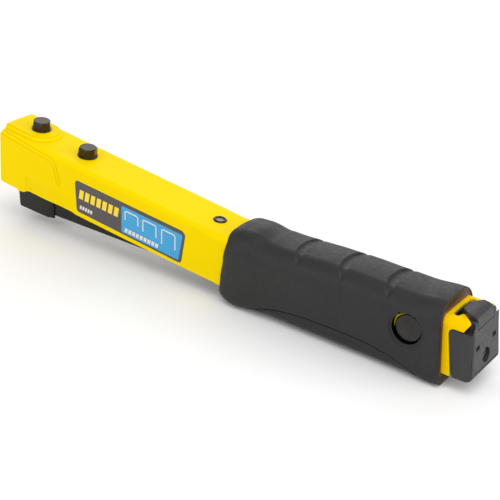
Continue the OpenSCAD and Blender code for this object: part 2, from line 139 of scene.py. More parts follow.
def grid_faces(rows, cols, ring_rows=False, ring_cols=False):
    """Faces of a grid of points stored row by row, closed into a ring along its rows or columns."""
    faces = []
    for i in range(rows if ring_rows else rows - 1):
        for j in range(cols if ring_cols else cols - 1):
            a, b = i * cols, ((i + 1) % rows) * cols
            k = (j + 1) % cols
            faces.append((a + j, a + k, b + k, b + j))
    return faces


def attribute(piece, name, values):
    """A number per point that the materials read."""
    mark = piece.data.attributes.new(name, "FLOAT", "POINT")
    mark.data.foreach_set("value", values)


def apply_modifiers(piece):
    depsgraph = bpy.context.evaluated_depsgraph_get()
    mesh = bpy.data.meshes.new_from_object(piece.evaluated_get(depsgraph))
    piece.modifiers.clear()
    piece.data = mesh


def cut(piece, *cutters):
    """Takes the cutters' shapes out of a piece and removes them from the scene."""
    for cutter in cutters:
        m = piece.modifiers.new("cut", "BOOLEAN")
        m.operation = "DIFFERENCE"
        m.solver = "EXACT"
        m.object = cutter
        apply_modifiers(piece)
        bpy.data.objects.remove(cutter)


def clean(mesh, merge=None, flatten=None):
    """Turns all faces outward, after joining points closer than merge and flats within an angle."""
    bm = bmesh.new()
    bm.from_mesh(mesh)
    if merge:
        bmesh.ops.remove_doubles(bm, verts=bm.verts, dist=merge)
    if flatten:
        bmesh.ops.dissolve_limit(bm, angle_limit=flatten, verts=bm.verts, edges=bm.edges)
    bmesh.ops.recalc_face_normals(bm, faces=bm.faces)
    bm.to_mesh(mesh)
    bm.free()


def soften(piece, width=0.0, sharp=30, clamped=False):
    """Smooth shading with sharp edges above an angle in degrees, and a small bevel on those edges."""
    if width:
        m = piece.modifiers.new("bevel", "BEVEL")
        m.width = width * MM
        m.segments = 2
        m.limit_method = "ANGLE"
        m.angle_limit = radians(sharp)
        m.use_clamp_overlap = clamped
        apply_modifiers(piece)
    piece.data.shade_smooth()
    piece.data.set_sharp_from_angle(angle=radians(sharp + 10))
    if width:
        m = piece.modifiers.new("normals", "WEIGHTED_NORMAL")
        m.keep_sharp = True
        m.weight = 100
        apply_modifiers(piece)


def prism(name, outline, low, high, axis):
    """An outline extruded along axis y (outline in x and z) or z (outline in x and y)."""
    n = len(outline)
    points = []
    for end in (low, high):
        points += [(a, end, b) if axis == "y" else (a, b, end) for a, b in outline]
    faces = [tuple(range(n)), tuple(range(2 * n - 1, n - 1, -1))]
    faces += [(i, (i + 1) % n, n + (i + 1) % n, n + i) for i in range(n)]
    piece = mesh_piece(name, points, faces)
    clean(piece.data)
    return piece


def crosswise(axis):
    """A unit axis and two more at right angles to it."""
    axis = Vector(axis).normalized()
    side = axis.orthogonal().normalized()
    return axis, side, axis.cross(side)


def lathe(name, profile, centre, axis, turns=64):
    """A profile of (distance along the axis, radius) turned about an axis through centre."""
    axis, side, other = crosswise(axis)
    points = []
    for d, r in profile:
        for k in range(turns):
            a = 2 * pi * k / turns
            points.append(Vector(centre) + axis * d + (side * cos(a) + other * sin(a)) * r)
    piece = mesh_piece(name, points, grid_faces(len(profile), turns, ring_cols=True))
    clean(piece.data, merge=1e-7)
    return piece


def coil(name, start, axis, length, radius, wire, turns, closed, steps_per_turn=20, sides=8):
    """A compression spring swept along a helix, with a number of closed turns at each end."""
    axis, side, other = crosswise(axis)
    n = int(turns * steps_per_turn)
    solid = closed * wire * 2

    def at(i):
        t = i / steps_per_turn
        if t < closed:
            d = t * wire * 2
        elif t > turns - closed:
            d = length - wire * 2 - (turns - t) * wire * 2
        else:
            d = mix(solid, length - wire * 2 - solid, (t - closed) / (turns - 2 * closed))
        a = 2 * pi * t
        return Vector(start) + axis * (d + wire) + (side * cos(a) + other * sin(a)) * (radius - wire)

    points = []
    for i in range(n + 1):
        here = at(i)
        ahead = (at(i + 1) - at(i - 1)).normalized()
        out = here - Vector(start)
        out = (out - axis * out.dot(axis)).normalized()
        up = ahead.cross(out).normalized()
        for k in range(sides):
            a = 2 * pi * k / sides
            points.append(here + (out * cos(a) + up * sin(a)) * wire)
    faces = grid_faces(n + 1, sides, ring_cols=True)
    faces.append(tuple(range(sides)))
    faces.append(tuple(n * sides + k for k in reversed(range(sides))))
    piece = mesh_piece(name, points, faces)
    clean(piece.data)
    soften(piece, sharp=50)
    return piece


def finished_copy(node, name, bevel):
    """A mesh piece with the shape of a CAD node, its flats joined up and its edges rounded."""
    mesh = frame["nodes"][node].data.copy()
    mesh.materials.clear()
    piece = link(name, mesh)
    clean(mesh, merge=2e-6, flatten=radians(1))
    soften(piece, bevel)
    return piece


def finish_piece(piece, body, slot, material, *nodes):
    """Gives a piece its material, parents it to the empty of the body it rides on and hides the nodes it
    replaces.
    """
    piece.data.materials.clear()
    piece.data.materials.append(material)
    if nodes:
        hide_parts(*nodes)
    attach(piece, body)


# ---------------------------------------------------------------- materials
class Surface:
    """A Principled material whose colour, roughness and bump are built up from noise and mesh attributes."""

    def __init__(self, name, color, roughness, metallic=0.0, **sockets):
        self.material = bpy.data.materials.new(name)
        self.material.use_nodes = True
        self.tree = self.material.node_tree
        self.shader = self.tree.nodes["Principled BSDF"]
        self.shader.inputs["Base Color"].default_value = (*color, 1)
        self.shader.inputs["Roughness"].default_value = roughness
        self.shader.inputs["Metallic"].default_value = metallic
        for socket, value in sockets.items():
            self.shader.inputs[socket.replace("_", " ")].default_value = value
        self.coordinates = self.node("ShaderNodeTexCoord").outputs["Object"]
        self.normal = None

    def node(self, kind, **values):
        """A new node: sockets are linked to its inputs, other values go to its settings or inputs."""
        node = self.tree.nodes.new(kind)
        for key, value in values.items():
            if isinstance(value, bpy.types.NodeSocket):
                self.tree.links.new(value, node.inputs[key])
            elif hasattr(node, key):
                setattr(node, key, value)
            else:
                node.inputs[key].default_value = value
        return node

    def drive(self, socket, value):
        self.tree.links.new(value, self.shader.inputs[socket])

    def noise(self, size, detail, stretch=(1, 1, 1)):
        """Noise whose features are about size millimetres across."""
        mapping = self.node("ShaderNodeMapping", Vector=self.coordinates)
        mapping.inputs["Scale"].default_value = [s / (size * MM) for s in stretch]
        return self.node("ShaderNodeTexNoise", Vector=mapping.outputs["Vector"], Detail=detail,
                         Scale=1.0).outputs["Fac"]

    def band(self, value, low, high, to_low, to_high):
        """Maps a value's range from low to high onto another range, and clamps it there."""
        node = self.node("ShaderNodeMapRange", Value=value)
        for key, number in (("From Min", low), ("From Max", high), ("To Min", to_low), ("To Max", to_high)):
            node.inputs[key].default_value = number
        return node.outputs["Result"]

    def mark(self, name):
        """Value of a mesh attribute."""
        return self.node("ShaderNodeAttribute", attribute_name=name).outputs["Fac"]

    def away(self, name, offset=0.0):
        """Distance in millimetres from the lines where an attribute is offset or minus offset."""
        value = self.node("ShaderNodeMath", operation="ABSOLUTE", Value=self.mark(name)).outputs["Value"]
        value = self.band(value, 0, FAR, -offset, FAR - offset)
        return self.node("ShaderNodeMath", operation="ABSOLUTE", Value=value).outputs["Value"]

    def tint(self, factor, color):
        """Mixes a colour into the base colour by a factor."""
        base = self.shader.inputs["Base Color"]
        mixer = self.node("ShaderNodeMix", data_type="RGBA")
        sockets = {socket.name: socket for socket in mixer.inputs if socket.type == "RGBA"}
        if base.links:
            self.tree.links.new(base.links[0].from_socket, sockets["A"])
        else:
            sockets["A"].default_value = base.default_value
        sockets["B"].default_value = (*color, 1)
        self.tree.links.new(factor, mixer.inputs["Factor"])
        self.drive("Base Color", next(socket for socket in mixer.outputs if socket.type == "RGBA"))

    def mottle(self, size, detail, low, high, share, color):
        """Patches of another colour where the noise lies above low, at full share above high."""
        self.tint(self.band(self.noise(size, detail), low, high, 0, share), color)

    def rough(self, size, detail, low, high):
        """Lets the roughness wander between two values."""
        self.drive("Roughness", self.band(self.noise(size, detail), 0.3, 0.7, low, high))

    def bump(self, height, depth, strength):
        """Bump of a depth in millimetres, on top of the ones before."""
        node = self.node("ShaderNodeBump", Height=height, Strength=strength, Distance=depth * MM)
        if self.normal:
            self.tree.links.new(self.normal, node.inputs["Normal"])
        self.normal = node.outputs["Normal"]
        self.drive("Normal", self.normal)


def scaled(color, factor):
    return tuple(c * factor for c in color)


def yellow_paint():
    s = Surface("yellow_paint", (0.93, 0.68, 0.0), 0.4, Specular_IOR_Level=0.02)
    s.mottle(26, 2, 0.35, 0.7, 0.10, (0.97, 0.73, 0.01))
    s.mottle(1.6, 4, 0.55, 0.8, 0.10, (0.85, 0.56, 0.0))
    # Painted shade: a faint brown line on each side of a crease, 0.75 mm from it
    s.tint(s.band(s.away("crease", 0.75), 0.1, 0.5, 0.42, 0), (0.66, 0.36, 0.0))
    # Painted shade turns the rear strip and hooks orange
    s.tint(s.mark("amber_shade_and_reflection"), (0.95, 0.36, 0.0))
    s.rough(7, 4, 0.33, 0.45)
    s.bump(s.noise(1.1, 2), 0.02, 0.5)
    s.bump(s.noise(0.25, 2), 0.004, 0.5)
    return s.material


def black_steel(name, color):
    s = Surface(name, color, 0.28, metallic=0.92)
    s.mottle(2.2, 5, 0.4, 0.75, 0.5, scaled(color, 0.7))
    s.rough(1.2, 5, 0.15, 0.28)
    s.bump(s.noise(0.3, 3), 0.01, 0.6)
    return s.material


def black_paint():
    s = Surface("black_paint", (0.017, 0.0145, 0.0135), 0.4, Specular_IOR_Level=0.22)
    s.mottle(9, 3, 0.4, 0.7, 0.4, (0.024, 0.021, 0.019))
    s.rough(3, 4, 0.36, 0.52)
    s.bump(s.noise(0.6, 3), 0.01, 0.5)
    return s.material


def grip_rubber():
    gloss = 0.38
    s = Surface("grip_rubber", (0.012, 0.012, 0.012), 0.5, Specular_IOR_Level=gloss)
    s.mottle(15, 3, 0.35, 0.7, 0.5, (0.017, 0.017, 0.016))
    s.mottle(0.5, 3, 0.5, 0.8, 0.6, (0.026, 0.026, 0.027))
    # The belly crease gets a black line of painted shade, without a shine
    line = s.away("crease")
    s.tint(s.band(line, 0.2, 0.55, 0.9, 0), (0.001, 0.001, 0.001))
    s.drive("Specular IOR Level", s.band(line, 0.2, 0.55, 0, gloss))
    s.tint(s.mark("shade"), (0.003, 0.002, 0.0015))
    # Painted amber reflection of the frame on the end face
    s.tint(s.mark("amber_shade_and_reflection"), (0.16, 0.065, 0.002))
    s.rough(2.5, 4, 0.42, 0.56)
    s.bump(s.noise(0.45, 3), 0.03, 0.8)
    s.bump(s.noise(0.18, 2), 0.008, 0.6)
    return s.material


def cap_plastic():
    s = Surface("cap_plastic", (0.028, 0.028, 0.03), 0.48, Specular_IOR_Level=0.4)
    s.mottle(12, 3, 0.35, 0.7, 0.4, (0.035, 0.035, 0.037))
    s.mottle(0.35, 3, 0.5, 0.8, 0.5, (0.05, 0.05, 0.052))
    s.rough(2.0, 4, 0.42, 0.58)
    s.bump(s.noise(0.35, 3), 0.02, 0.7)
    return s.material


def bare_metal(name, color, rough=0.3, stretch=(1, 1, 1)):
    """Metal with fine lines; a stretch below 1 draws them out along that axis."""
    s = Surface(name, color, rough, metallic=1.0)
    lines = s.noise(0.25, 4, stretch)
    s.tint(s.band(lines, 0.3, 0.7, 0, 0.35), scaled(color, 0.75))
    s.mottle(4, 4, 0.5, 0.8, 0.3, scaled(color, 0.8))
    s.rough(1.5, 4, rough - 0.07, rough + 0.1)
    s.bump(lines, 0.006, 0.5)
    return s.material


def printed_film(name, color):
    rough = 0.32
    s = Surface(name, color, rough, Coat_Weight=0.3, Coat_Roughness=0.2)
    s.mottle(5, 3, 0.4, 0.7, 0.12, scaled(color, 1.25))
    s.mottle(0.3, 2, 0.5, 0.8, 0.12, scaled(color, 0.8))
    s.rough(2, 3, rough - 0.05, rough + 0.08)
    s.bump(s.noise(0.5, 2), 0.004, 0.4)
    return s.material


# ---------------------------------------------------------------- the channel-shaped frame
HALF_W = 15.5
SHEET = 1.5
HEAD_ANGLE = radians(6.7)
HEAD_AXIS = Vector((sin(HEAD_ANGLE), 0, cos(HEAD_ANGLE)))
HEAD_TOP, HEAD_SLOPE = 50.7, tan(HEAD_ANGLE)
HANDLE_TOP, HANDLE_LOW = 31.1, -0.9
BEND_X = (HEAD_TOP - HANDLE_TOP) / HEAD_SLOPE
FRONT_X, FRONT_CORNER = -0.7, 3.2
FRONT_LEAN, LEAN_Z = tan(radians(3.8)), 16
REAR_X = 324.5
# The bottom edge falls from the head to the neck, then a little less steeply to the handle
HEAD_LOW, HEAD_RISE = 17.5, tan(radians(5.9))
NECK_X, NECK_RISE = 103, tan(radians(5.2))
LUG_EDGE = [(0, 16.0), (13.2, 14.9), (15.8, 13.8), (19.4, 13.9), (23.2, 15.1)]
BOLT_X = 20.8
# Half the width of the slope round the bulge and the pad
FLANK = 0.8
# The bulge ends at a falling line on top, a leaning line at the rear and a slanted corner between them
BULGE = 1.3
BULGE_TOP, BULGE_FALL = 49.5, 0.1725
BULGE_REAR, BULGE_LEAN = 57.9, 0.292
CORNER_X, CORNER_Z = 45.0, 40.7
# An upright flute stands in the bulge behind the lug
FLUTE_FRONT, FLUTE_REAR, FLUTE_TOP, FLUTE_DEPTH = 21.5, 25.4, 24.9, 0.4
PAD, PAD_HALF_W, PAD_CROWN = 3.0, 11.7, 0.3


def frame_top(x):
    return max(HEAD_TOP - HEAD_SLOPE * x, HANDLE_TOP)


def frame_low(x):
    """Bottom edge of the frame's side, with a round front corner and the lug behind it."""
    line = HEAD_LOW - HEAD_RISE * min(x, NECK_X) - NECK_RISE * max(x - NECK_X, 0)
    low = max(line, HANDLE_LOW)
    if x < LUG_EDGE[-1][0]:
        low = along(LUG_EDGE, x)
    ahead = x - FRONT_X
    if ahead < FRONT_CORNER:
        low += FRONT_CORNER - sqrt(max(0, FRONT_CORNER ** 2 - (FRONT_CORNER - ahead) ** 2))
    return low


def bulge(x, z):
    """How far the side of the head is pressed out at x, z, and the distance to the nearest crease."""
    # The factors make these distances at right angles to the lines
    top = (BULGE_TOP - BULGE_FALL * x - z) * 0.985
    rear = (BULGE_REAR - BULGE_LEAN * z - x) * 0.96
    corner = (CORNER_X - x) * 0.698 + (CORNER_Z - z) * 0.716
    # Low down the rear edge spreads out, and behind the lug the bulge fades towards the bottom edge
    spread = mix(9, FLANK, smooth(19, 31, z))
    tail = 1 - smooth(21, 26, x) * (1 - smooth(1, 11, z - frame_low(x)))
    share = min(ramp(top, FLANK), ramp(corner, FLANK), ramp(rear, spread))
    flute = clamp((x - FLUTE_FRONT) / 0.7) * clamp((FLUTE_REAR - x) / 0.7) * clamp((FLUTE_TOP - z) / 0.8)
    crease = abs(min(top, rear, corner)) + FAR * (1 - smooth(20, 28, z))
    # With 0.8 added the painted shade draws one line along the flute's edge instead of one on each side
    groove = abs(min(x - 21.8, 25.1 - x, 24.5 - z)) + 0.8
    return BULGE * share * tail - FLUTE_DEPTH * flute, min(crease, groove)


def pad(x, y):
    """How far the top of the head is pressed up at x, y, and the distance to its edge."""
    reach = abs(y) if x < BOLT_X else hypot(x - BOLT_X, y)
    inside = PAD_HALF_W - reach
    return ramp(inside, FLANK) * (PAD - PAD_CROWN * clamp(reach / 12) ** 2), abs(inside)


def warped(x, z):
    """Rows lean over near the rear end of the bulge, so that they follow its edge."""
    return x - BULGE_LEAN * (z - 33) * smooth(37, 45, x) * (1 - smooth(52, 64, x))


def frame_section(x, inset=0.0, shape_x=None):
    """One row across the frame, from the near bottom edge over the top to the far one.

    The outline is shrunk by inset and taken at shape_x. Gives points and their distances to a crease.
    """
    shape_x = x if shape_x is None else shape_x
    low, top = frame_low(shape_x), frame_top(shape_x) - inset
    w = HALF_W - inset
    r = min(mix(3.0, 4.0, smooth(150, 175, x)), w * 0.5)
    share = 1 - inset / HALF_W
    shoulder = top - r
    # Up the side, round the shoulder and across the top to the middle
    half = [(w, mix(low, shoulder - 4, i / 44)) for i in range(44)]
    half += [(w, shoulder - 4 + i / 3) for i in range(12)]
    half += [(w - r + r * cos(a), shoulder + r * sin(a)) for a in steps(0, pi / 2, 0.105)]
    half += [((w - r) * (1 - i / 34), top) for i in range(35)]
    near, creases = [], []
    for y, z in half:
        here = warped(shape_x, z) if z < shoulder + r * 0.5 else shape_x
        rise, edge = pad(here, y / max(share, 0.05)) if z > shoulder + r * 0.3 else (0, FAR)
        out, line = bulge(here, z)
        near.append((x + here - shape_x + FRONT_LEAN * (z - LEAN_Z),
                     -y - out * share * (1 if y > 0 else 0), z + rise * share))
        creases.append(min(edge, line))
    far = [(px, -py, pz) for px, py, pz in reversed(near[:-1])]
    return near + far, creases + list(reversed(creases[:-1]))


def body_frame_piece():
    """The frame as a skin of rows with a rounded front, given its thickness and cut to shape behind."""
    # The front face closes in rings round its middle, and its edge is rounded in a few rows
    edge, turns = 1.1, 5
    rows = [frame_section(FRONT_X, inset, 0) for inset in (15.4, 12, 8, 4.5, 2.2)]
    for i in range(turns + 1):
        a = pi / 2 * i / turns
        rows.append(frame_section(FRONT_X + edge * (1 - cos(a)), edge * (1 - sin(a)), 0))
    xs = steps(FRONT_X + edge, 19, 0.45) + steps(19, 35, 0.34) + steps(35, 66, 0.5)
    xs += steps(66, BEND_X - 2, 4) + steps(BEND_X - 2, BEND_X + 2, 0.8) + steps(BEND_X + 2, 306, 6)
    xs += steps(306, REAR_X, 1.2) + [REAR_X]
    rows += [frame_section(x) for x in xs[1:]]
    points, creases = [], []
    for row, marks in rows:
        for x, y, z in row:
            # The lean of the front fades out towards the middle of the head
            lean = FRONT_LEAN * (z - LEAN_Z)
            points.append((x - lean + lean * (1 - smooth(0, 60, x - lean)), y, z))
        creases += marks
    piece = mesh_piece("frame_shell", points, grid_faces(len(rows), len(rows[0][0])))
    attribute(piece, "crease", creases)
    # Painted shade turns the frame orange behind the grip
    attribute(piece, "amber_shade_and_reflection", [0.3 * smooth(305, 309, p[0]) for p in points])
    crown = max(piece.data.polygons, key=lambda face: face.center.z)
    if crown.normal.z < 0:
        piece.data.flip_normals()
    m = piece.modifiers.new("sheet", "SOLIDIFY")
    m.thickness = SHEET * MM
    m.offset = -1
    m.use_even_offset = True
    apply_modifiers(piece)
    # Behind the leaning rear edge only the two hooks go on
    edge_x, edge_lean = 316.6, tan(radians(8.6))
    hook_x, hook_r = edge_x - 22.6 * edge_lean, 2.8
    behind = [(edge_x + 4 * edge_lean, -4 + HANDLE_LOW), (hook_x, 21.7)]
    behind += [(hook_x + hook_r * (1 - cos(a)), 23.3 + hook_r * sin(a)) for a in steps(0.2, 1.57, 0.2)]
    behind += [(320.9, 26.1), (323.2, 30.1), (323.2, 36), (340, 36), (340, -5)]
    # Seen from above, the space between the hooks, as (x, y) on one side
    between = [(311.7, 9.0), (313.0, 10.1), (313.9, 10.4), (314.8, 10.1), (315.4, 9.3), (315.5, 7.9),
               (315.9, 7.2), (316.7, 6.8), (317.6, 7.2), (318.4, 8.0), (322.3, 12.1), (323.6, 13.4),
               (340, 13.4)]
    between += [(x, -y) for x, y in reversed(between)]
    cut(piece, prism("rear_cutter", behind, -30, 30, "y"), prism("hook_cutter", between, 24, 45, "z"))
    soften(piece, 0.2, 40, clamped=True)
    return piece


# ---------------------------------------------------------------- the rubber grip
GRIP_FRONT, GRIP_REAR = 172.6, 312.0
GRIP_HALF_W = 19.2
# Room between the frame and the sleeve round it
GRIP_GAP = 0.06
HOLE_X, HOLE_Z = 291.6, 18.4
# Radii of the finger hole, of the step round it, and of the step's rim
HOLE_R, STEP_R, RIM_R = 8.5, 9.6, 10.2
GROOVE_X = (219.3, 248.0, 277.2)
# Half width and depth of a finger groove on top and near its tips
GROOVE_HALF, TIP_HALF = 3.5, 1.9
GROOVE_DEPTH, TIP_DEPTH = 1.25, 0.9
# How far a groove goes round the shoulder, how long its round tip is, and how far that is swept back
GROOVE_REACH, TIP_LENGTH, TIP_SWEEP = 20.5, 3.5, 2.1
# The crease along the side is highest in the middle and falls towards its ends
BELLY_START, BELLY_END = 190, 299
BELLY_X, BELLY_Z, BELLY_HALF, BELLY_FALL = 247, 2.6, 39, 3.5


def grip_outer(x):
    """Half width, top, bottom and shoulder radius of the grip at x."""
    top = along([(173, 35.2), (181, 36.8), (188, 37.1), (201, 35.1), (208, 34.8), (222, 35.2), (240, 35.8),
                 (257, 36.1), (275, 35.7), (292, 35.5), (309.5, 36.9)], x)
    low = along([(172, -6.2), (184, -8.6), (196, -7.2), (204, -6.8), (227, -7.1), (265, -7.5), (292, -7.7),
                 (306, -8.9), (312, -8.6)], x)
    wide = along([(172, 18.6), (184, GRIP_HALF_W), (204, 18.8), (240, 18.9), (290, GRIP_HALF_W),
                  (312, GRIP_HALF_W)], x)
    radius = along([(172, 12.5), (190, 12.8), (208, 11), (280, 11), (312, 11.5)], x)
    return wide, top, low, radius


def ring(w, low, top, r_top, r_low, crown=0.0, drop=1.0):
    """A closed section from the middle of the bottom round the near side, as points (y, z).

    The top is raised by crown in the middle, and its shoulders are drop times as high as they are wide.
    """
    fall = r_top * drop
    flat_low, flat_top = w - r_low, w - r_top
    points = [(-flat_low * i / 12, low) for i in range(12)]
    points += [(-flat_low - r_low * sin(a), low + r_low * (1 - cos(a))) for a in steps(0, pi / 2, 0.12)]
    points += [(-w, mix(low + r_low, top - fall, i / 46)) for i in range(46)]
    points += [(-flat_top - r_top * cos(a), top - fall * (1 - sin(a))) for a in steps(0, pi / 2, 0.08)]
    for i in range(25):
        y = -flat_top * (1 - i / 24)
        points.append((y, top + crown * (1 - (y / flat_top) ** 2)))
    return points + [(-y, z) for y, z in reversed(points[1:-1])]


def groove(x, y, z, top):
    """Depth and shade of the finger grooves: across the top, narrowing to a round tip on each shoulder."""
    down = abs(y) + max(0.0, top - z)
    narrow = smooth(3, 17, down)
    half = mix(GROOVE_HALF, TIP_HALF, narrow) * sqrt(clamp((GROOVE_REACH - down) / TIP_LENGTH))
    if half < 0.05:
        return 0.0, 0.0
    depth, shade = 0.0, 0.0
    for middle in GROOVE_X:
        t = (x - middle - TIP_SWEEP * narrow) / half
        if abs(t) < 1:
            depth = mix(GROOVE_DEPTH, TIP_DEPTH, narrow) * (1 - t * t) ** 0.7 * smooth(-1, -0.7, t)
            shade = 0.35 * smooth(-1.05, -0.85, t) * (1 - smooth(-0.7, -0.2, t)) * clamp(half / 1.5)
    return depth, shade


def belly_line(x):
    """Height of the crease along the side of the grip."""
    return BELLY_Z - BELLY_FALL * (abs(x - BELLY_X) / BELLY_HALF) ** 3


def grip_point(x, y, z, wide, top):
    """Presses the grooves and the belly crease into a point of the outer section.

    Gives its y and z, its shade and its distance to the crease.
    """
    sink, shade = groove(x, y, z, top)
    side = clamp(abs(y) / wide)
    z -= sink * (1 - side ** 6)
    y -= (1 if y > 0 else -1) * sink * side ** 6
    below = FAR
    if BELLY_START < x < BELLY_END:
        below = belly_line(x) - z
        fade = smooth(BELLY_START, BELLY_START + 8, x) * (1 - smooth(BELLY_END - 9, BELLY_END, x))
        # The side steps in under the crease, and a little more further down
        under = ramp(below - 0.3, 0.35) * fade
        y *= 1 - (0.035 + 0.006 * clamp(below / 6)) * under * side
    return y, z, shade, below if abs(y) > 0.6 * wide else FAR


def grip_front(z):
    """Where the front edge of the grip lies at height z."""
    return along([(-9, 171.6), (-2, 172.9), (6, 173.4), (19, 174.9), (29, 176.4), (36, 174.6)], z)


def grip_rear(z):
    """Where the rear edge of the grip lies at height z."""
    return GRIP_REAR - 0.25 - 0.08 * (z + 1)


def rubber_grip_piece():
    """The sleeve as rows from the front edge over the outside to the rear, and back along the frame."""
    inner = ring(HALF_W + GRIP_GAP, -2.5, HANDLE_TOP + GRIP_GAP, 4.0, 1.0)
    points, shades, creases, amber_reflections = [], [], [], []

    def row(t, grow, sink=0.0, dark=0.0, amber_shade_and_reflection=0.0):
        """t runs from the front edge to the rear edge; grow from the frame's outline to the full section."""
        x = mix(GRIP_FRONT, GRIP_REAR, t)
        wide, top, low, radius = grip_outer(x)
        outer = ring(wide, low, top, radius, 5.5, crown=0.5, drop=1.3)
        for (yi, zi), (yo, zo) in zip(inner, outer):
            y, z, shade, crease = grip_point(x, yo, zo, wide, top)
            z = mix(zi, z, grow)
            points.append((mix(grip_front(z), grip_rear(z), t) + sink, mix(yi, y, grow), z))
            shades.append(max(shade, dark))
            creases.append(crease)
            amber_reflections.append(amber_shade_and_reflection)

    length = GRIP_REAR - GRIP_FRONT
    round_l, rim = 5.0, 0.5
    row(0, 0, 1.2)
    for a in steps(0, pi / 2, 0.16) + [pi / 2]:
        row(round_l * (1 - cos(a)) / length, mix(0.25, 1, sin(a)))
    for x in steps(round_l, length - rim, 0.6)[1:]:
        row(x / length, 1)
    for a in steps(0, pi / 2, 0.4) + [pi / 2]:
        row(1 - rim * (1 - sin(a)) / length, mix(1, 0.9, 1 - cos(a)))
    # The end face is sunk a little, with painted shade, and a painted amber reflection of the frame next to
    # it
    for grow, sink, dark, amber_shade_and_reflection in ((0.84, -0.2, 0.6, 0.1), (0.75, -0.5, 1, 0.3), (0.45, -0.6, 1, 0.15),
                                   (0.2, -0.4, 1, 0.4), (0.08, -0.1, 1, 0.9), (0, 0.2, 1, 1)):
        row(1, grow, sink, dark, amber_shade_and_reflection)
    for t in (0.97, 0.9, 0.75, 0.5, 0.25, 0.06):
        row(t, 0)
    cols = len(inner)
    faces = grid_faces(len(points) // cols, cols, ring_rows=True, ring_cols=True)
    piece = mesh_piece("grip_sleeve", points, faces)
    attribute(piece, "shade", shades)
    attribute(piece, "crease", creases)
    attribute(piece, "amber_shade_and_reflection", amber_reflections)
    clean(piece.data)
    for side in (-1, 1):
        axis = (0, side, 0)
        hole = [(0, 0), (0, HOLE_R), (12, HOLE_R), (12, 0)]
        step = [(0, 0), (0, STEP_R), (0.5, RIM_R), (6, RIM_R), (6, 0)]
        cut(piece, lathe("hole_cutter", hole, (HOLE_X, side * 14, HOLE_Z), axis),
            lathe("step_cutter", step, (HOLE_X, side * (GRIP_HALF_W - 0.75), HOLE_Z), axis))
    soften(piece, sharp=26)
    return piece


# ---------------------------------------------------------------- fasteners and small round parts
RIVET_X = 160.0
# Radii of the pivot pin's shank and of the hole in its clip
PIN_R, CLIP_R = 3.0, 1.6


def turned(name, profile, centre, axis, bevel=0.0):
    """A lathe piece with smooth shading."""
    piece = lathe(name, profile, centre, axis)
    soften(piece, bevel, 35)
    return piece


def rivet_pieces():
    """The ring-shaped head of the rivet, the core in its middle and the post below the frame's top."""
    centre = (RIVET_X, 0, frame_top(RIVET_X))
    head = [(-1.5, 0), (-1.5, 2.0), (-0.02, 2.0), (-0.02, 3.98), (0.25, 3.98), (0.62, 3.6), (0.8, 3.1),
            (0.72, 2.65), (0.35, 2.4), (-0.1, 2.3), (-0.2, 0)]
    core = [(-0.18, 0), (-0.18, 2.2), (0.05, 2.15), (0.22, 1.5), (0.1, 0.8), (0.16, 0)]
    post = [(-3.9, 0), (-3.9, 2.4), (-3.6, 2.8), (-1.5, 2.8), (-1.5, 0)]
    return (turned("rivet_head", head, centre, HEAD_AXIS), turned("rivet_core", core, centre, HEAD_AXIS),
            turned("rivet_post", post, centre, HEAD_AXIS, 0.1))


def pivot_pieces():
    """The pivot pin with its head on the near side, and the clip on the far side."""
    low, high = tool_box("pivot_pin")
    x, z = (low.x + high.x) / 2, (low.z + high.z) / 2
    r = (high.x - low.x) / 2
    rim = [(0, r), (0.7, r), (1.05, r - 0.3), (1.2, r - 0.8)]
    pin = [(-2 * HALF_W, 0), (-2 * HALF_W, PIN_R), (0, PIN_R)] + rim
    pin += [(1.15, r - 2.0), (0.95, r - 2.6), (0.9, 0)]
    clip = [(0, CLIP_R)] + rim + [(1.15, CLIP_R + 1), (0.5, CLIP_R), (0, CLIP_R)]
    return (turned("pivot_head", pin, (x, -HALF_W, z), (0, -1, 0)),
            turned("pivot_clip", clip, (x, HALF_W, z), (0, 1, 0)))


# ---------------------------------------------------------------- label
LABEL_Y = -HALF_W
# Fall of the printed rows, and of each bar's own ends
LABEL_FALL, BAR_FALL = 0.105, 0.1
# How far a bar leans over for its height
BAR_LEAN = 0.2
# Outer radius at the bends of a staple mark, the width of its line, and the angles along a bend
BEND_R, LINE_W = 1.6, 0.75
BEND_ANGLES = (0.4, 0.8, 1.2)


def rounded(corners, radius, n=6):
    """Outline through the corners with round ones, each as (x, z)."""
    outline = []
    count = len(corners)
    for i, (x, z) in enumerate(corners):
        p = Vector((x, z))
        before = (Vector(corners[i - 1]) - p).normalized()
        after = (Vector(corners[(i + 1) % count]) - p).normalized()
        half = before.angle(after) / 2
        reach = radius / tan(half)
        centre = p + (before + after).normalized() * radius / sin(half)
        a, b = p + before * reach - centre, p + after * reach - centre
        start, sweep = atan2(a.y, a.x), atan2(b.y, b.x) - atan2(a.y, a.x)
        sweep = (sweep + pi) % (2 * pi) - pi
        for k in range(n + 1):
            t = start + sweep * k / n
            outline.append((centre.x + radius * cos(t), centre.y + radius * sin(t)))
    return outline


def plate(name, outline, inner, outer):
    """A thin plate on the side of the frame, between two heights above it."""
    piece = prism(name, outline, LABEL_Y - outer, LABEL_Y - inner, "y")
    soften(piece, 0.04)
    return piece


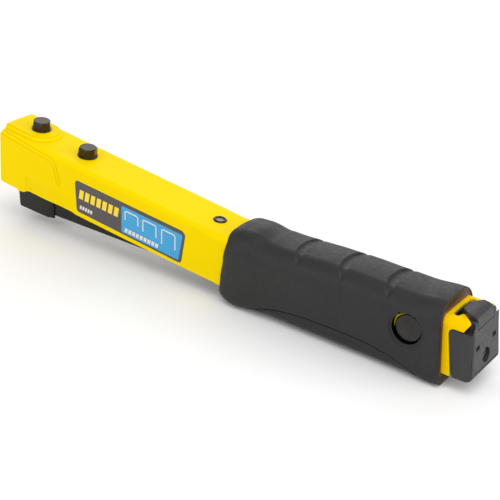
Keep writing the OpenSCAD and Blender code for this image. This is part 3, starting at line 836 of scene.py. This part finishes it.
def staple_mark(name, x, z, width, leg):
    """A staple outline: a crown with two legs, round at the bends."""

    def at(dx, dz):
        return (x + dx, z + dz - LABEL_FALL * dx)

    right = width - BEND_R
    outer = [at(0, -leg), at(0, -BEND_R)]
    outer += [at(BEND_R - BEND_R * cos(a), -BEND_R + BEND_R * sin(a)) for a in BEND_ANGLES]
    outer += [at(BEND_R, 0), at(right, 0)]
    outer += [at(right + BEND_R * sin(a), -BEND_R + BEND_R * cos(a)) for a in BEND_ANGLES]
    outer += [at(width, -BEND_R), at(width, -leg)]
    r = BEND_R - LINE_W
    inside = [at(width - LINE_W, -leg), at(width - LINE_W, -BEND_R)]
    inside += [at(right + r * cos(a), -BEND_R + r * sin(a)) for a in BEND_ANGLES]
    inside += [at(right, -LINE_W), at(BEND_R, -LINE_W)]
    inside += [at(BEND_R - r * sin(a), -BEND_R + r * cos(a)) for a in BEND_ANGLES]
    inside += [at(LINE_W, -BEND_R), at(LINE_W, -leg)]
    return plate(name, outer + inside, 0.18, 0.3)


def label_pieces(dark, blue, light, yellow):
    """Every piece of the label with its material, and the CAD node it replaces or None."""
    base = [(63.0, 34.4), (145.0, 26.0), (147.4, 24.0), (144.4, 5.0), (63.9, 13.9)]
    panel = [(99.8, 28.3), (145.6, 23.4), (142.6, 6.6), (99.6, 11.2)]
    pieces = [(plate("label_base", rounded(base, 2.2), -0.02, 0.12), dark, "side_label"),
              (plate("label_panel", rounded(panel, 1.3), 0.1, 0.2), blue, None)]
    for i, (x, z, leg) in enumerate([(102.2, 26.1, 6.3), (115.8, 24.6, 8.0), (129.9, 23.0, 9.8)]):
        pieces.append((staple_mark(f"staple_mark_{i}", x, z, 10.6, leg), light, None))
    # Slanted bars stand where the lettering was
    for name, count, x0, z0, pitch, width, height, ink in (
            ("label_bar", 7, 65.9, 29.0, 4.6, 3.3, 6.0, yellow),
            ("label_dash", 5, 66.4, 18.6, 2.1, 1.5, 2.4, light),
            ("label_dot", 9, 102.0, 14.6, 2.9, 2.1, 2.6, light)):
        lean, fall = BAR_LEAN * height, BAR_FALL * width
        for i in range(count):
            x, z = x0 + pitch * i, z0 - LABEL_FALL * pitch * i
            bar = [(x, z - height), (x + width, z - height - fall), (x + width + lean, z - fall),
                   (x + lean, z)]
            pieces.append((plate(f"{name}_{i}", bar, 0.18, 0.26), ink, None))
    return pieces


# ---------------------------------------------------------------- camera, floor and light
# Half the floor's side, and its distance below the grip
FLOOR_HALF, FLOOR_GAP = 6000, 0.05


def make_camera():
    """A long lens on the near side, above the tool and towards its rear, at a place in metres."""
    azimuth, elevation, roll = radians(34.477), radians(26.907), radians(2.52)
    back = Vector((sin(azimuth) * cos(elevation), -cos(azimuth) * cos(elevation), sin(elevation)))
    right = Vector((cos(azimuth), sin(azimuth), 0))
    up = back.cross(right)
    r = right * cos(roll) + up * sin(roll)
    u = up * cos(roll) - right * sin(roll)
    data = bpy.data.cameras.new("camera")
    data.lens = 84.46
    data.sensor_width = 36
    data.clip_start = 0.01
    camera = link("camera", data)
    camera.matrix_world = Matrix((
        (r.x, u.x, back.x, 0.34966),
        (r.y, u.y, back.y, -0.48455),
        (r.z, u.z, back.z, 0.32708),
        (0, 0, 0, 1)))
    bpy.context.scene.camera = camera


def softbox(name, position, target, size, power):
    """A rectangular light at a position in metres, turned to a target; power in watts."""
    data = bpy.data.lights.new(name, "AREA")
    data.shape = "RECTANGLE"
    data.size, data.size_y = size
    data.energy = power
    light = link(name, data)
    light.location = position
    light.rotation_euler = (Vector(target) - Vector(position)).to_track_quat("-Z", "Y").to_euler()


def make_studio():
    """White surroundings, a white floor just under the grip, and four softboxes."""
    scene = bpy.context.scene
    scene.view_settings.view_transform = "Standard"
    scene.world = bpy.data.worlds.new("studio")
    scene.world.use_nodes = True
    background = scene.world.node_tree.nodes["Background"]
    background.inputs["Color"].default_value = (1, 1, 1, 1)
    background.inputs["Strength"].default_value = 0.6
    corners = [(FLOOR_HALF * a, FLOOR_HALF * b, -GRIP_DROP - FLOOR_GAP)
               for a, b in ((-1, -1), (1, -1), (1, 1), (-1, 1))]
    floor = mesh_piece("floor", corners, [(0, 1, 2, 3)])
    paper = Surface("floor_paper", (0.95, 0.95, 0.95), 0.9)
    paper.mottle(300, 2, 0.3, 0.7, 0.3, (0.97, 0.97, 0.97))
    floor.data.materials.append(paper.material)
    softbox("key", (0.45, -0.45, 1.4), (0, 0, 0), (1.2, 1.2), 9)
    softbox("back", (-0.6, 0.9, 0.62), (0, 0, 0.02), (1.2, 0.8), 3.4)
    softbox("rim", (1.0, 0.3, 0.3), (0.16, 0, 0.03), (0.5, 0.5), 4.5)
    softbox("front", (-0.5, -0.9, 0.5), (0, 0, 0.02), (0.8, 0.6), 2)


# ---------------------------------------------------------------- putting it together
make_camera()
make_studio()
paint, coat = yellow_paint(), black_paint()
steel_black = black_steel("black_steel", (0.055, 0.044, 0.035))
steel_dark = black_steel("dark_steel", (0.045, 0.043, 0.042))
rubber, plastic = grip_rubber(), cap_plastic()
# Fine lines run along the tool on bright steel, and across it on the bush
steel = bare_metal("bright_steel", (0.62, 0.62, 0.63), stretch=(0.04, 1, 1))
dull = bare_metal("dull_steel", (0.22, 0.21, 0.2))
wire = bare_metal("spring_steel", (0.5, 0.5, 0.52), 0.33)
weight = bare_metal("weight_steel", (0.2, 0.2, 0.205), 0.5)
bronze = bare_metal("bronze", (0.55, 0.36, 0.17), 0.35, (1, 0.1, 1))
film = printed_film("label_film", (0.055, 0.045, 0.045))
blue_ink = printed_film("blue_ink", (0.02, 0.34, 0.66))
light_ink = printed_film("light_ink", (0.78, 0.7, 0.66))
yellow_ink = printed_film("yellow_ink", (0.93, 0.68, 0.01))

finish_piece(body_frame_piece(), "frame", "yellow_paint", paint, "body_frame")
finish_piece(rubber_grip_piece(), "frame", "grip_rubber", rubber, "rubber_grip")
head, core, post = rivet_pieces()
finish_piece(head, "frame", "black_steel", steel_black, "top_rivet")
finish_piece(core, "frame", "bright_steel", dull)
finish_piece(post, "frame", "bright_steel", steel)
pin, clip = pivot_pieces()
finish_piece(pin, "frame", "black_steel", steel_dark, "pivot_pin")
finish_piece(clip, "frame", "black_steel", steel_dark, "pivot_cap")
for piece, ink, node in label_pieces(film, blue_ink, light_ink, yellow_ink):
    finish_piece(piece, "frame", "label_film", ink, *([node] if node else []))

for node, bevel, slot, material in (
        ("driver_block", 0.5, "weight_steel", weight), ("driver_blade", 0.12, "bright_steel", steel),
        ("blade_screws", 0.15, "black_steel", steel_black), ("hex_bolts", 0.22, "black_steel", steel_black),
        ("stop_pin", 0.3, "bright_steel", steel), ("magazine_housing", 0.35, "black_paint", coat),
        ("nose_shoe", 0.6, "black_paint", coat), ("pivot_bush", 0.2, "bronze", bronze),
        ("spring_cup", 0.2, "bright_steel", steel), ("staple_rail", 0.2, "bright_steel", steel),
        ("rail_block", 0.3, "weight_steel", weight), ("guide_rod", 0.2, "bright_steel", steel),
        ("end_cap", 0.3, "cap_plastic", plastic), ("cap_screw", 0.2, "bright_steel", dull),
        ("latch_pin", 0.2, "bright_steel", steel), ("latch_lever", 0.25, "cap_plastic", plastic),
        ("pusher", 0.3, "bright_steel", steel)):
    finish_piece(finished_copy(node, f"{node}_finish", bevel), BODY_OF[node], slot, material, node)

# Each spring is a coil as long as its CAD node, on the body it rides on
low, high = tool_box("return_spring")
spring = coil("return_coil", ((low.x + high.x) / 2, 0, low.z), (0, 0, 1), high.z - low.z,
              radius=5.0, wire=0.5, turns=4.6, closed=0.9)
finish_piece(spring, "frame", "spring_steel", wire, "return_spring")
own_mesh(spring)
low, high = tool_box("pusher_spring")
spring = coil("pusher_coil", (low.x, 0, (low.z + high.z) / 2), (1, 0, 0), high.x - low.x,
              radius=2.4, wire=0.35, turns=118, closed=2)
finish_piece(spring, "rail", "spring_steel", wire, "pusher_spring")
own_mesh(spring)
low, high = tool_box("latch_spring")
spring = coil("latch_coil", ((low.x + high.x) / 2, 0, low.z), (0, 0, 1), high.z - low.z,
              radius=2.2, wire=0.25, turns=6, closed=1)
finish_piece(spring, "rail", "spring_steel", wire, "latch_spring")
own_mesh(spring)
